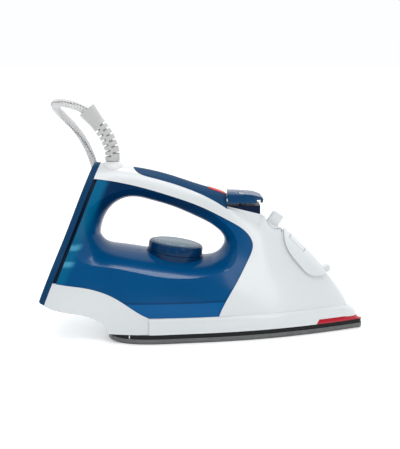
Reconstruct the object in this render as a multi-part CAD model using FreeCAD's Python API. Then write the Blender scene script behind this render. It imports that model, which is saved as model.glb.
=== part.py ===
"""Steam iron with a water tank, a thermostat dial, two pump buttons and a mains lead.

Frame: millimetres, +X from the heel to the tip, +Z up, Y across. The origin is on the
ironing surface, under the middle of the iron's length, with the iron flat on its sole.
"""
import FreeCAD
import Part
import math
import os

# ---------------------------------------------------------------- driving dimensions
LENGTH = 278.0           # heel plate to tip
WIDTH = 112.0            # across the sole at its widest
HEIGHT = 147.0           # sole to the top of the rear housing, without the cord guard

WALL = 2.4               # moulded shells
STEP = 0.5               # how far the tank lies below the white mouldings round it
FIT = 0.3                # gap between pieces that are assembled by hand
RUN = 0.08               # radial gap round a shaft that turns or slides

SOLE_T = 4.3             # aluminium soleplate, at its edge
BAND_T = 3.7             # black heat shield showing above the soleplate
PAD_T = 4.7              # raised pad that holds the chamber and the heating element
SKIRT_H = 13.0           # white skirt above the black band
ACCENT_H = 4.0           # red strip round the tip
ACCENT_T = 1.6
STEAM_HOLE_D = 3.2
SOLE_EDGE = 1.0          # rounding of the sole's lower edge
ELEMENT_D = 6.6          # tubular heating element

HEEL_TILT = 21.36        # heel plate, degrees from upright
PLATE_T = 5.4            # heel plate
GROOVE_W = 3.0           # groove between the heel plate and the tank

DIAL_D = 47.6
DIAL_H = 8.2
DIAL_TILT = 8.0          # the dial leans forward with the deck, degrees
RING_D = 49.6            # fixed ring under the dial
RING_H = 1.0             # ring above the middle of the deck
SHAFT_D = 6.0            # thermostat shaft

BALL_R = 10.6            # swivel ball of the cord guard
CORD_D = 6.8             # textile covered mains lead
GUARD_D = 12.4
GUARD_END_D = 15.6       # flare at the end of the guard
FLARE_L = 13.0           # flare along the lead

BUTTON_STROKE = 4.0
BUTTON_W = 30.4          # both buttons side by side
PUMP_D = 10.6            # pump cylinder, outside
PISTON_D = 7.6
ROD_D = 3.6
PUMP_APART = 11.2        # between the two pumps' axes
SPRING_D = 5.8           # mean diameter
SPRING_WIRE = 0.8

KNOB_LEAN = 33.7         # steam selector's axis, degrees from upright
KNOB_L = 11.0            # grip of the selector along the slope
KNOB_T = 6.6
KNOB_TALL = 10.2         # grip above its recess
RECESS_D = 17.0
VALVE_ROD_D = 3.6

NOSE_LEAN = 43.5         # slope that carries the filler door, degrees
COVER_T = 2.8            # nose cover, measured level over the shell
DOOR_L = 17.0            # filler door
DOOR_W = 15.0
DOOR_GAP = 0.5           # all round the door in its pocket
PIN_D = 1.2              # hinge pin of the door
DUCT_D = 12.0            # filler duct, outside
PIPE_D = 4.0             # steam pipe and hoses

# ------------------------------------------------- stations: where the outline stands
FOOT = SOLE_T + BAND_T   # underside of the white skirt
SEAM = FOOT + SKIRT_H    # top of the skirt, where tank and shell stand
REACH = WIDTH            # half length of a cutting prism across the iron
TOP = HEIGHT + 30.0      # above the whole body


def at_x(x):
    """A place along a 278 mm iron, carried over to this iron's length."""
    return x * LENGTH / 278.0


def at_y(y):
    return y * WIDTH / 112.0


def at_z(z):
    """A height on an iron 147 mm tall with its skirt at 8, carried over to this one."""
    return FOOT + (z - 8.0) * (HEIGHT - FOOT) / (147.0 - 8.0)


def xz(points):
    return [(at_x(x), at_z(z)) for x, z in points]


def vec(x, y, z):
    return FreeCAD.Vector(x, y, z)


# ------------------------------------------------------------------ small geometry kit
def shifted(points, distance):
    """Each point of a flat line moved to its left by a distance."""
    moved = []
    last = len(points) - 1
    for index, (u, v) in enumerate(points):
        before = points[max(index - 1, 0)]
        after = points[min(index + 1, last)]
        du, dv = after[0] - before[0], after[1] - before[1]
        size = math.hypot(du, dv)
        moved.append((u - distance * dv / size, v + distance * du / size))
    return moved


def shifted_ring(points, distance):
    """The same for a closed line."""
    wrapped = [points[-1]] + points + [points[0]]
    return shifted(wrapped, distance)[1:-1]


def smooth_edge(places):
    spline = Part.BSplineCurve()
    spline.interpolate(places)
    return spline.toShape()


def smooth_ring(places):
    spline = Part.BSplineCurve()
    spline.interpolate(Points=places, PeriodicFlag=True)
    return Part.Wire([spline.toShape()])


def side_prism(runs, reach=REACH):
    """A side view carried across the iron: runs of (x, z) points, smooth where they
    have more than two, each starting where the one before ends."""
    edges = []
    for run in runs:
        places = [vec(x, -reach, z) for x, z in run]
        if len(places) > 2:
            edges.append(smooth_edge(places))
        else:
            edges.append(Part.makeLine(places[0], places[1]))
    face = Part.Face(Part.Wire(edges))
    return face.extrude(vec(0, 2 * reach, 0))


def straight(*points):
    """Runs through the points, for side_prism."""
    return [[first, second] for first, second in zip(points, points[1:])]


def side_polygon(points, reach=REACH):
    return side_prism(straight(*points, points[0]), reach)


def plan_prism(points, low, high):
    """A plan outline of straight lines between two heights."""
    places = [vec(x, y, low) for x, y in points]
    face = Part.Face(Part.makePolygon(places + [places[0]]))
    return face.extrude(vec(0, 0, high - low))


def mirrored(points):
    """A plan outline from its +Y half, front to back."""
    return points + [(x, -y) for x, y in reversed(points)]


def block(x0, x1, y0, y1, z0, z1):
    return Part.makeBox(x1 - x0, y1 - y0, z1 - z0, vec(x0, y0, z0))


def upright(x, y, low, high, diameter):
    return Part.makeCylinder(diameter / 2, high - low, vec(x, y, low))


def leaning(shape, origin, lean):
    """A shape built round its own axis, put at an origin and leant forward."""
    turned = shape.copy()
    turned.Placement = FreeCAD.Placement(origin, FreeCAD.Rotation(vec(0, 1, 0), lean))
    return turned


def axis_of(lean):
    angle = math.radians(lean)
    return vec(math.sin(angle), 0, math.cos(angle))


def one(shape):
    """The largest solid of a result, without slivers."""
    return max(shape.Solids, key=lambda solid: solid.Volume)


def swept(edges, diameter):
    """A round bar along joined edges."""
    path = Part.Wire(edges)
    first = path.Edges[0]
    start = first.valueAt(first.FirstParameter)
    way = first.tangentAt(first.FirstParameter)
    ring = Part.Wire([Part.makeCircle(diameter / 2, start, way)])
    return path.makePipeShell([ring], True, False)


def rounded_route(points, name=""):
    """Straight runs joined by arcs as large as their two runs allow."""
    edges = []
    radii = []
    start = points[0]
    for before, corner, after in zip(points, points[1:], points[2:]):
        way_in = (corner - before).normalize()
        way_out = (after - corner).normalize()
        half_turn = way_in.getAngle(way_out) / 2
        reach = 0.45 * min((corner - before).Length, (after - corner).Length)
        radius = reach / math.tan(half_turn)
        inward = (way_out - way_in).normalize()
        middle = corner + inward * (radius / math.cos(half_turn) - radius)
        first, last = corner - way_in * reach, corner + way_out * reach
        edges.append(Part.makeLine(start, first))
        edges.append(Part.Arc(first, middle, last).toShape())
        radii.append(radius)
        start = last
    edges.append(Part.makeLine(start, points[-1]))
    if name:
        print(name, "length", round(sum(e.Length for e in edges)),
              "radii", [round(r, 1) for r in radii])
    return edges


# ------------------------------------------------------------------- the body's shape
# Cross sections of the body from the heel to the tip: place, then half width and
# height up one side, then the height on the centre line.
SECTIONS = [
    (-141, [(46, 8), (45, 35), (41, 66), (32, 100), (22, 129), (12, 143)], 147),
    (-100, [(49, 8), (47, 33), (42.5, 64), (32, 98), (21.5, 128), (12, 142.3)], 146.6),
    (-80, [(52.5, 8), (49.5, 31), (44, 62), (30, 95), (19.5, 124), (11.5, 139.5)], 144.6),
    (-60, [(55.5, 8), (51.5, 30), (45, 61), (26, 95), (18, 121), (11.5, 137)], 142),
    (-30, [(54.6, 8), (50.5, 29), (44.5, 59), (24, 92), (18, 114), (11.5, 130)], 135.3),
    (0, [(50.6, 8), (47, 27), (41, 55), (23.8, 84), (18.4, 104), (12.5, 120)], 125.6),
    (18, [(47, 8), (43.5, 26), (37.5, 52), (24.7, 79), (19, 98), (13.8, 112)], 119.4),
    (34, [(43.3, 8), (39.5, 25), (33.5, 48), (24.5, 71), (18.2, 89), (12.5, 102.5)], 108.5),
    (50, [(39.3, 8), (35.5, 23), (29.5, 44), (22.3, 65.5), (15.8, 82.5), (9.5, 95)], 100.3),
    (68, [(34.3, 8), (30.5, 21), (25.5, 38), (18.5, 57), (12, 73), (6.5, 83.5)], 87.5),
    (86, [(27.8, 8), (24.8, 18), (20.5, 31), (15, 46), (10, 59), (5.5, 67.5)], 71),
    (103, [(20.2, 8), (18, 15), (15.3, 25), (11.8, 36), (8.2, 45.5), (4.5, 51)], 53),
    (117, [(13.8, 8), (12.4, 12.5), (10.8, 18.5), (8.6, 25.5), (6.1, 31.5), (3.3, 35)], 36.2),
    (125, [(9.6, 8), (8.8, 10.5), (7.8, 13.5), (6.3, 17), (4.6, 20), (2.5, 21.8)], 22.4),
]


def envelope(inset):
    """The whole body without its hand opening, drawn in by an inset."""
    drop = 12.0 if inset > 0 else 0.0
    wires = []
    for place, side, top in SECTIONS:
        half = [(at_y(w), at_z(z)) for w, z in side]
        outline = half + [(0.0, at_z(top))] + [(-w, z) for w, z in reversed(half)]
        outline = shifted(outline, inset)
        outline[0] = (outline[0][0], FOOT - drop)
        outline[-1] = (outline[-1][0], FOOT - drop)
        x = at_x(place) - (inset if place > 120 else 0.0)
        places = [vec(x, w, z) for w, z in outline]
        closing = Part.makeLine(places[-1], places[0])
        wires.append(Part.Wire([smooth_edge(places), closing]))
    return Part.makeLoft(wires, True, False)


# Hand opening on the centre plane, clockwise from its lower rear corner: place, then
# how far the outline has moved outward on a plane FLARE_AT off centre.
FLARE_AT = 30.0
FLARE_POWER = 2.2
OPENING = [
    (-90, 86, -15, 1), (-87, 97.5, -16, 5), (-78.5, 109.5, -14, 14), (-65, 115.6, -4, 30),
    (-46, 112.8, 6, 34), (-27, 107, 8, 34), (-8, 98.8, 11, 32), (9, 89.3, 18, 20),
    (16.6, 79, 21, 3), (11.5, 68.6, 15, -4), (0, 64.2, 4, -5), (-24, 66.6, 0, -5),
    (-50, 70.6, 0, -5), (-74, 74.2, -2, -5), (-86, 78, -11, -4),
]


def opening(grow):
    """The hand opening with its flared mouths, grown by a wall."""
    wires = []
    for y in (-58, -46, -34, -23, -13, -5, 5, 13, 23, 34, 46, 58):
        flare = (abs(y) / FLARE_AT) ** FLARE_POWER
        ring = [(at_x(x + fx * flare), at_z(z + fz * flare)) for x, z, fx, fz in OPENING]
        ring = shifted_ring(ring, grow)
        wires.append(smooth_ring([vec(x, at_y(y), z) for x, z in ring]))
    return Part.makeLoft(wires, True, False)


HEEL_FOOT = at_z(33.5)   # lower edge of the heel plate's outer face


def heel(depth, up):
    """(x, z) at a depth under the heel plate's outer face and a way up along it."""
    tilt = math.radians(HEEL_TILT)
    x = -LENGTH / 2 + depth * math.cos(tilt) + up * math.sin(tilt)
    return (x, HEEL_FOOT - depth * math.sin(tilt) + up * math.cos(tilt))


def heel_slab(near, far, low, high, reach=REACH):
    corners = [heel(near, low), heel(near, high), heel(far, high), heel(far, low)]
    return side_polygon(corners, reach)


# Sole outline, +Y half, from its rear edge to the tip.
SOLE_SIDE = [(-82, 30), (-79.5, 41), (-71, 51), (-58, 55.8), (-25, 54.3), (17, 47.7),
             (59.8, 36.8), (95, 23.8), (122, 11.6), (134, 5.3)]
# The skirt's form: share of its height, how far its sides and its tip are drawn in.
SKIRT_FORM = [(0.0, 0.0, 0.0), (0.35, 0.4, 3.0), (0.7, 1.1, 6.5), (0.9, 2.0, 9.0),
              (1.0, 3.6, 11.0)]


def sole_wire(z, inset=0.0, tip_inset=0.0):
    side = shifted([(at_x(x), at_y(y)) for x, y in SOLE_SIDE], -inset)
    tip_x = LENGTH / 2 - inset - tip_inset
    side = [(x, y) for x, y in side if y > 3.0 and x < tip_x - 3.0]
    tip_x = min(tip_x, side[-1][0] + 1.1 * side[-1][1])
    upper = [vec(x, y, z) for x, y in side]
    lower = [vec(x, -y, z) for x, y in reversed(side)]
    rear = Part.makeLine(lower[-1], upper[0])
    nose = Part.Arc(upper[-1], vec(tip_x, 0, z), lower[0]).toShape()
    return Part.Wire([rear, smooth_edge(upper), nose, smooth_edge(lower)])


def sole_slab(low, high, inset=0.0):
    return Part.Face(sole_wire(low, inset)).extrude(vec(0, 0, high - low))


def skirt_loft(low, high, inset):
    """The skirt's outer form between two heights, drawn in by an inset."""
    wires = []
    for share, side, tip in SKIRT_FORM:
        wires.append(sole_wire(low + share * (high - low), inset + side, tip))
    return Part.makeLoft(wires, True, False)


# --------------------------------------------------------------- parting lines, side view
# Lower edge of the white handle strip, down the front of the tank to the skirt.
STRIP_EDGE = xz([(-104, 134.6), (-63, 128.6), (-29.4, 119.2), (-4, 110.2), (21.6, 97.6),
                 (36, 87.6), (41.2, 77.5), (37.8, 67), (26.5, 47)]) + [(at_x(12), SEAM)]
# Upper edge of the white lower housing, from the heel to the level part.
LOW_FRONT = at_x(-46)
LOW_EDGE = xz([(-136, 52.3), (-112, 47.2), (-80, 39.9), (-68.5, 34), (-57, 26.6)])
LOW_EDGE = LOW_EDGE + [(LOW_FRONT, SEAM)]
# Underside of the lower housing behind the sole.
BELLY = xz([(-136, 32.4), (-106, 23.4), (-88.5, 17.6), (-82.2, 13)]) + [(at_x(-80.6), FOOT)]
# Edge of the grip pad, from its rear tip to the buttons, and the seat of the turret.
PAD_EDGE = xz([(-63, 146), (-58.6, 139.2), (-46.4, 134.3), (-29.4, 129.6), (-12.5, 123.8),
               (2, 117.6), (19, 107.8)])
SEAT = xz([(19, 107.8), (33, 104.2), (48.4, 100.6)])
# Lower edge of the nose cover.
COVER_EDGE = xz([(69.8, 92), (69, 80.7), (71.4, 72.9), (81.7, 58.9), (90, 50.8), (97.3, 48.6),
                 (107, 50.5)])

# ------------------------------------------------------------------- places on the body
DIAL_BASE = vec(at_x(-26), 0, at_z(66.9))
DIAL_WAY = axis_of(DIAL_TILT)
KNOB_BASE = vec(at_x(59), 0, at_z(93.2))
KNOB_WAY = axis_of(KNOB_LEAN)
DOOR_BASE = vec(at_x(80.5), 0, at_z(76.4))
BALL = vec(at_x(-79.3), 0, at_z(138.0))
PUMP_X = at_x(33)
TURRET_REAR = at_x(19.4)
TURRET_FRONT = at_x(47.6)
TURRET_TOP = at_z(110)
CAP_FOOT = TURRET_TOP + 2.3
CAP_ROOF = TURRET_TOP + BUTTON_STROKE + 1.0
CAP_TOP = at_z(121)
PAD_TOP = SOLE_T + PAD_T
COVER_TOP = PAD_TOP + 2.0
SHIELD_TOP = SEAM - WALL - 2.1
PLUG_FOOT = at_z(94)
SPRING_FOOT = SEAT[1][1] + 1.2

outer = envelope(0.0).cut(opening(0.0))
hollow = envelope(WALL).cut(opening(WALL))
room = envelope(WALL + FIT).cut(opening(WALL + FIT))
parts = {}


# ------------------------------------------------------------------------ the hot base
def soleplate():
    edge = Part.makeLoft([sole_wire(0.0, SOLE_EDGE), sole_wire(SOLE_EDGE)], True, True)
    plate = edge.fuse(sole_slab(SOLE_EDGE, SOLE_T))
    plate = plate.fuse(sole_slab(SOLE_T, PAD_TOP, 10.0))
    plate = plate.cut(plan_prism(chamber_outline(-3.0), SOLE_T + 1.0, PAD_TOP + 1.0))
    plate = plate.cut(swept(element_path(), ELEMENT_D + 2 * FIT))
    for x in range(-40, 60, 14):
        reach = chamber_half(at_x(x)) - 7.0
        for y in (-reach, -reach / 2.4, reach / 2.4, reach):
            plate = plate.cut(upright(at_x(x), y, -1, PAD_TOP, STEAM_HOLE_D))
    for x, y in SCREWS:
        plate = plate.cut(upright(x, y, SOLE_T, PAD_TOP + 1.0, 3.0))
    return one(plate)


CHAMBER = [(60, 0), (56, 6), (48, 10), (0, 20), (-46, 23)]


def chamber_half(x):
    """Half width of the chamber's outline at a place along it."""
    for (x1, y1), (x0, y0) in zip(CHAMBER, CHAMBER[1:]):
        if at_x(x0) <= x <= at_x(x1):
            share = (x - at_x(x0)) / (at_x(x1) - at_x(x0))
            return at_y(y0) + share * at_y(y1 - y0)
    return at_y(CHAMBER[-1][1])


def chamber_outline(grow):
    front = at_x(CHAMBER[0][0]) + grow
    side = [(at_x(x) + (grow if index < 2 else 0), at_y(y) + grow)
            for index, (x, y) in enumerate(CHAMBER[1:])]
    side[-1] = (side[-1][0] - grow, side[-1][1])
    return [(front, 0)] + side + [(x, -y) for x, y in reversed(side)]


def element_path():
    half = [(-66, 33), (0, 29.5), (62, 17.5), (86, 7.5)]
    points = [vec(at_x(x), at_y(y), PAD_TOP) for x, y in half]
    points += [vec(p.x, -p.y, p.z) for p in reversed(points)]
    return rounded_route(points)


ELEMENT_END = [(at_x(-66) + ELEMENT_D / 2, side * at_y(32.8)) for side in (-1, 1)]


def heating_element():
    bar = swept(element_path(), ELEMENT_D)
    for x, y in ELEMENT_END:
        bar = bar.fuse(upright(x, y, PAD_TOP, SEAM + 3.0, 3.0))
    return one(bar)


def steam_chamber_cover():
    plate = plan_prism(chamber_outline(0.0), PAD_TOP, COVER_TOP)
    plate = plate.cut(upright(PUMP_X, -PUMP_APART / 2, 0, TOP, PIPE_D - 1.0))
    return plate.cut(upright(VALVE_X, 0, 0, TOP, 3.0))


def heat_shield():
    rim = sole_slab(SOLE_T, FOOT, 0.4).cut(sole_slab(SOLE_T, FOOT, 9.0))
    hat = sole_slab(FOOT - 1.5, SHIELD_TOP, 7.4)
    hat = hat.cut(sole_slab(FOOT - 1.5, SHIELD_TOP - 1.5, 9.0))
    shield = rim.fuse(hat).cut(sole_slab(SOLE_T, PAD_TOP, 10.0 - FIT))
    shield = shield.cut(upright(THERMOSTAT_X, 0, FOOT, SEAM, 30.0))
    shield = shield.cut(upright(PUMP_X, -PUMP_APART / 2, FOOT, SEAM, PIPE_D + 1.0))
    shield = shield.cut(upright(VALVE_X, 0, FOOT, SEAM, 9.0))
    for x, y in ELEMENT_END:
        shield = shield.cut(upright(x, y, FOOT, SEAM, 6.0))
    for x, y in SCREWS:
        shield = shield.cut(upright(x, y, FOOT, SEAM, 5.4))
    return one(shield)


THERMOSTAT_X = (DIAL_BASE - DIAL_WAY * ((DIAL_BASE.z - 15.0) / DIAL_WAY.z)).x
VALVE_X = at_x(22.0)
SCREWS = [(at_x(78), 0.0), (at_x(-56), at_y(-20)), (at_x(-56), at_y(20))]


def thermostat():
    """Bimetal thermostat on the chamber cover, its spindle leant like the dial."""
    body = upright(THERMOSTAT_X, 0, COVER_TOP, COVER_TOP + 4.5, 24.0)
    body = body.fuse(block(THERMOSTAT_X - 16, THERMOSTAT_X + 16, -5, 5, COVER_TOP, COVER_TOP + 2))
    spindle = Part.makeCylinder(2.5, 9.0, dial_axis_at(COVER_TOP + 1.5), DIAL_WAY)
    return one(body.fuse(spindle))


def dial_axis_at(z):
    return DIAL_BASE - DIAL_WAY * ((DIAL_BASE.z - z) / DIAL_WAY.z)


def thermal_fuse():
    barrel = Part.makeCylinder(2.2, 16, vec(at_x(-56), -8, PAD_TOP + 2.2), vec(0, 1, 0))
    return barrel.fuse(Part.makeCylinder(0.6, 28, vec(at_x(-56), -14, PAD_TOP + 2.2), vec(0, 1, 0)))


# ----------------------------------------------------------------------- lower housing
def accent_zone(grow=0.0):
    start = at_x(96)
    low, high = FOOT - 1.0, FOOT + ACCENT_H + grow
    corners = [(start - grow, low), (start + 3.0 - grow, high), (LENGTH, high), (LENGTH, low)]
    return side_polygon(corners)


def lower_housing():
    skirt = skirt_loft(FOOT, SEAM, 0.0)
    skirt = skirt.cut(skirt_loft(FOOT - 1.0, SEAM - WALL, WALL))
    skirt = skirt.cut(block(-LENGTH, LOW_FRONT, -REACH, REACH, 0, TOP))
    skirt = skirt.cut(accent_zone().cut(skirt_loft(FOOT - 2.0, SEAM, ACCENT_T)))
    skirt = skirt.cut(upright(THERMOSTAT_X + 2, 0, FOOT, SEAM, 18.0))
    skirt = skirt.cut(upright(PUMP_X, -PUMP_APART / 2, FOOT, SEAM, PIPE_D + 1.0))
    skirt = skirt.cut(upright(VALVE_X, 0, FOOT, SEAM, 9.0))

    floor = (LOW_FRONT, FOOT - 1.0)
    sweep = side_prism([LOW_EDGE] + straight(LOW_EDGE[-1], floor, (BELLY[-1][0], FOOT - 1.0))
                       + straight((BELLY[-1][0], FOOT - 1.0), BELLY[-1])
                       + [BELLY[::-1], [BELLY[0], LOW_EDGE[0]]])
    rear = outer.common(sweep).cut(heel_slab(-60, PLATE_T, -90, 200))
    inside = shifted(BELLY, WALL)
    inside[-1] = (inside[-1][0], FOOT - 4.0)
    front = (LOW_FRONT + 1.0, FOOT - 4.0)
    scoop = side_prism([inside[::-1]] + straight(inside[0], (inside[0][0], TOP),
                       (LOW_FRONT + 1.0, TOP), front, inside[-1]))
    rear = rear.cut(hollow.common(scoop))
    for x, y in SCREWS:
        post = upright(x, y, SHIELD_TOP, SEAM, 7.0).cut(upright(x, y, 0, SEAM, 3.4))
        skirt = skirt.fuse(post) if x > LOW_FRONT else skirt
    return one(rear.fuse(skirt))


def tip_accent():
    zone = accent_zone(-0.1).common(skirt_loft(FOOT, SEAM, 0.0))
    return one(zone.cut(skirt_loft(FOOT - 2.0, SEAM, ACCENT_T - 0.1)))


def sole_screw(x, y):
    """Screw up through the shield, headed under the pad's level."""
    shank = upright(x, y, PAD_TOP, SHIELD_TOP + 1.6, 3.0)
    return shank.fuse(upright(x, y, PAD_TOP, PAD_TOP + 2.0, 6.0))


# ---------------------------------------------------------------------- tank and shells
def water_tank():
    skin = envelope(STEP).cut(opening(STEP)).cut(hollow)
    level = [LOW_EDGE[-1], STRIP_EDGE[-1]]
    zone = side_prism([STRIP_EDGE, level[::-1], LOW_EDGE[::-1], [LOW_EDGE[0], STRIP_EDGE[0]]])
    skin = skin.common(zone).cut(heel_slab(-60, PLATE_T + GROOVE_W, -90, 200))
    hole = leaning(Part.makeCylinder(SHAFT_D / 2 + 1.5, 30, vec(0, 0, -15)), DIAL_BASE, DIAL_TILT)
    return one(skin.cut(hole))


TANK_REAR = at_x(-101)
TANK_FRONT = at_x(6)


def basin_outline(up):
    """Floor and end walls of the tank's base, raised by a plate's thickness."""
    floor = [(at_x(-80), at_z(38.0)), (at_x(-62), at_z(29.5)), (at_x(-46), SEAM + FIT),
             (TANK_FRONT, SEAM + FIT)]
    floor = [(x, z + up) for x, z in floor]
    floor[-1] = (floor[-1][0] - up, floor[-1][1])
    start = (TANK_REAR + up, at_z(46) + up)
    return [(TANK_REAR + up, TOP), start] + floor + [(TANK_FRONT - up, TOP)]


def tank_base():
    tub = side_polygon(basin_outline(0.0)).cut(side_polygon(basin_outline(2.0)))
    start = dial_axis_at(SEAM + FIT)
    column = Part.makeCylinder(SHAFT_D / 2 + 3.0, HEIGHT / 2, start, DIAL_WAY)
    column = column.cut(block(-LENGTH, LENGTH, -REACH, REACH, -1, SEAM + FIT))
    tub = tub.fuse(column)
    tub = tub.cut(Part.makeCylinder(SHAFT_D / 2 + 1.5, HEIGHT, start - DIAL_WAY * 9, DIAL_WAY))
    tub = tub.common(room).cut(block(-LENGTH, LENGTH, -REACH, REACH, at_z(90), TOP))
    port = Part.makeCylinder(5.0, 6.0, vec(TANK_FRONT - 4, 0, at_z(34)), vec(1, 0, 0))
    return one(tub.cut(port))


def front_zone(inset):
    """Side view of the tank's front chamber inside the shell."""
    return side_polygon([
        (TANK_FRONT + FIT + inset, SEAM + FIT + inset), (at_x(98) - inset, SEAM + FIT + inset),
        (at_x(96) - inset, at_z(34)), (at_x(62) - inset / 2, at_z(57) - inset),
        (TANK_FRONT + FIT + inset, at_z(57) - inset)])


def tank_front():
    chamber = room.common(front_zone(0.0))
    inside = envelope(WALL + FIT + 1.8).cut(opening(WALL + FIT + 1.8)).common(front_zone(1.8))
    chamber = chamber.cut(inside)
    sleeve = upright(PUMP_X, -PUMP_APART / 2, SEAM + FIT + 0.5, at_z(57) - 0.5, PIPE_D + 3.0)
    chamber = chamber.fuse(sleeve)
    chamber = chamber.cut(upright(PUMP_X, -PUMP_APART / 2, 0, TOP, PIPE_D + 0.6))
    port = Part.makeCylinder(5.0, 6.0, vec(TANK_FRONT - 1, 0, at_z(34)), vec(1, 0, 0))
    chamber = chamber.cut(port).cut(valve_bore(VALVE_ROD_D / 2 + 0.6))
    chamber = chamber.cut(upright(VALVE_X, 0, 0, at_z(30), 8.4))
    return one(chamber.cut(duct_core(DUCT_D - 3.0)))


def valve_bore(radius):
    return Part.makeCylinder(radius, HEIGHT, KNOB_BASE + KNOB_WAY * 3, KNOB_WAY * -1).cut(
        block(-LENGTH, LENGTH, -REACH, REACH, -HEIGHT, at_z(33)))


def duct_core(diameter):
    return leaning(Part.makeCylinder(diameter / 2, 34, vec(0, 0, -33)), DOOR_BASE, NOSE_LEAN)


def filler_duct():
    duct = duct_core(DUCT_D).cut(duct_core(DUCT_D - 3.0))
    duct = duct.cut(front_zone(0.0))
    return one(duct.common(room))


def body_shell():
    skin = outer.cut(hollow)
    end = (LENGTH * 0.6, SEAM)
    roof = (at_x(-63), TOP)
    zone = side_prism([STRIP_EDGE] + straight(STRIP_EDGE[-1], end, (end[0], TOP),
                      (SEAT[-1][0], TOP), SEAT[-1]) + [SEAT[::-1], PAD_EDGE[::-1]]
                      + straight(PAD_EDGE[0], roof, (STRIP_EDGE[0][0], TOP), STRIP_EDGE[0]))
    skin = skin.common(zone).cut(heel_slab(-60, PLATE_T, -90, 200))
    cup = leaning(Part.makeCylinder(RECESS_D / 2 + 1.6, 16, vec(0, 0, -6)), KNOB_BASE, KNOB_LEAN)
    skin = skin.fuse(cup.common(outer))
    recess = Part.makeCylinder(RECESS_D / 2, 20, vec(0, 0, -4))
    bore = Part.makeCylinder(VALVE_ROD_D / 2 + RUN, 20, vec(0, 0, -10))
    skin = skin.cut(leaning(recess.fuse(bore), KNOB_BASE, KNOB_LEAN))
    skin = skin.cut(Part.makeSphere(BALL_R + 0.25, BALL))
    skin = skin.cut(duct_core(DUCT_D + 0.2)).cut(across_hinge(KNUCKLE_D + 0.6, TONGUE_W + 0.6))
    skin = skin.cut(turret_plug(FIT))
    return one(skin)


def grip_pad():
    skin = outer.cut(hollow)
    front = PAD_EDGE[-1][0]
    zone = side_prism([PAD_EDGE] + straight(PAD_EDGE[-1], (front, TOP), (PAD_EDGE[0][0], TOP),
                                            PAD_EDGE[0]))
    return one(skin.common(zone).cut(lens_zone(0.1)))


def lens_zone(grow):
    front = at_x(18) + grow
    return block(at_x(3) - grow, front, -5.0 - grow, 5.0 + grow, at_z(100), TOP)


def pilot_lens():
    return one(envelope(-0.4).cut(hollow).common(lens_zone(0.0)))


def pilot_lamp():
    return one(hollow.common(block(at_x(5), at_x(16), -3.5, 3.5, at_z(112), TOP)))


# --------------------------------------------------------------------------------- heel
def rear_cover():
    up_to = (HEIGHT - HEEL_FOOT) / math.cos(math.radians(HEEL_TILT)) + 10
    plate = envelope(0.0).common(heel_slab(0, PLATE_T, 0, up_to))
    plate = one(plate)
    face = [edge for edge in plate.Edges if on_heel_face(edge)]
    plate = plate.makeFillet(2.0, face)
    inside = envelope(WALL + 1.0).common(heel_slab(PLATE_T - 2.6, PLATE_T + 1, 6, up_to))
    plate = plate.cut(inside)
    for y in (-REAR_SCREW_Y, REAR_SCREW_Y):
        plate = plate.cut(heel_rod(y, -1, PLATE_T + 1, 3.4)).cut(heel_rod(y, -1, 1.4, 7.0))
    return one(plate)


def on_heel_face(edge):
    box = edge.BoundBox
    ends = [(box.XMin, box.ZMin), (box.XMax, box.ZMax)]
    tilt = math.radians(HEEL_TILT)
    depths = [(x + LENGTH / 2) * math.cos(tilt) - (z - HEEL_FOOT) * math.sin(tilt)
              for x, z in ends]
    return max(abs(d) for d in depths) < 0.05


REAR_SCREW_Y = at_y(20)
REAR_SCREW_UP = 38.0


def heel_rod(y, near, far, diameter):
    """A round bar into the heel at the screws' height."""
    x0, z0 = heel(near, REAR_SCREW_UP)
    x1, z1 = heel(far, REAR_SCREW_UP)
    return Part.makeCylinder(diameter / 2, far - near, vec(x0, y, z0), vec(x1 - x0, 0, z1 - z0))


def rear_screw(y):
    head = heel_rod(y, 0.2, 1.4, 6.4).cut(heel_rod(y, 0, 0.9, 2.4))
    return head.fuse(heel_rod(y, 1.4, PLATE_T + GROOVE_W, 3.0))


def rear_bulkhead():
    up_to = (HEIGHT - HEEL_FOOT) / math.cos(math.radians(HEEL_TILT)) + 10
    plate = envelope(WALL + FIT).common(heel_slab(PLATE_T, PLATE_T + GROOVE_W, 4.0, up_to))
    for y in (-REAR_SCREW_Y, REAR_SCREW_Y):
        plate = plate.cut(heel_rod(y, 0, PLATE_T + GROOVE_W + 1, 3.0 + 2 * RUN))
    return one(plate.cut(Part.makeSphere(BALL_R + FIT, BALL)))


def terminal_block():
    near = PLATE_T + GROOVE_W
    strip = heel_slab(near, near + 11, 12, 26, 17)
    for y in (-10.5, -3.5, 3.5, 10.5):
        x, z = heel(near + 11, 19)
        strip = strip.cut(Part.makeCylinder(1.8, 8, vec(x, y, z), vec(-1, 0, 0.39)))
    return one(strip)


def cord_clamp():
    near = PLATE_T + GROOVE_W
    jaw = heel_slab(near, near + 12, 84, 94, 8)
    return jaw


def internal_lead(side):
    """One lead from the terminal block down to the heating element."""
    start = heel(PLATE_T + GROOVE_W + 6, 10.6)
    x, y = ELEMENT_END[0 if side < 0 else 1]
    points = [vec(start[0], side * 10, start[1]), vec(at_x(-108), side * at_y(16), at_z(33.5)),
              vec(at_x(-90), side * at_y(26), at_z(28.5)), vec(x - 1, y, SEAM + 7.0),
              vec(x, y, SEAM + 3.1)]
    return swept(rounded_route(points), 2.6)


# ---------------------------------------------------------------------- cord and swivel
GUARD_LINE = [(-79.3, 0, 148.0), (-79.3, 0, 156.0), (-83.5, 0, 168.0), (-91.5, 0, 179.5),
              (-100.9, 0, 191.0)]
GUARD_ROUTE = [vec(at_x(x), y, z + at_z(147) - 147) for x, y, z in GUARD_LINE]
GUARD_ROUTE[0] = vec(BALL.x, 0, BALL.z + BALL_R - 0.9)
GUARD_ROUTE[1] = vec(BALL.x, 0, GUARD_ROUTE[1].z)


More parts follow.
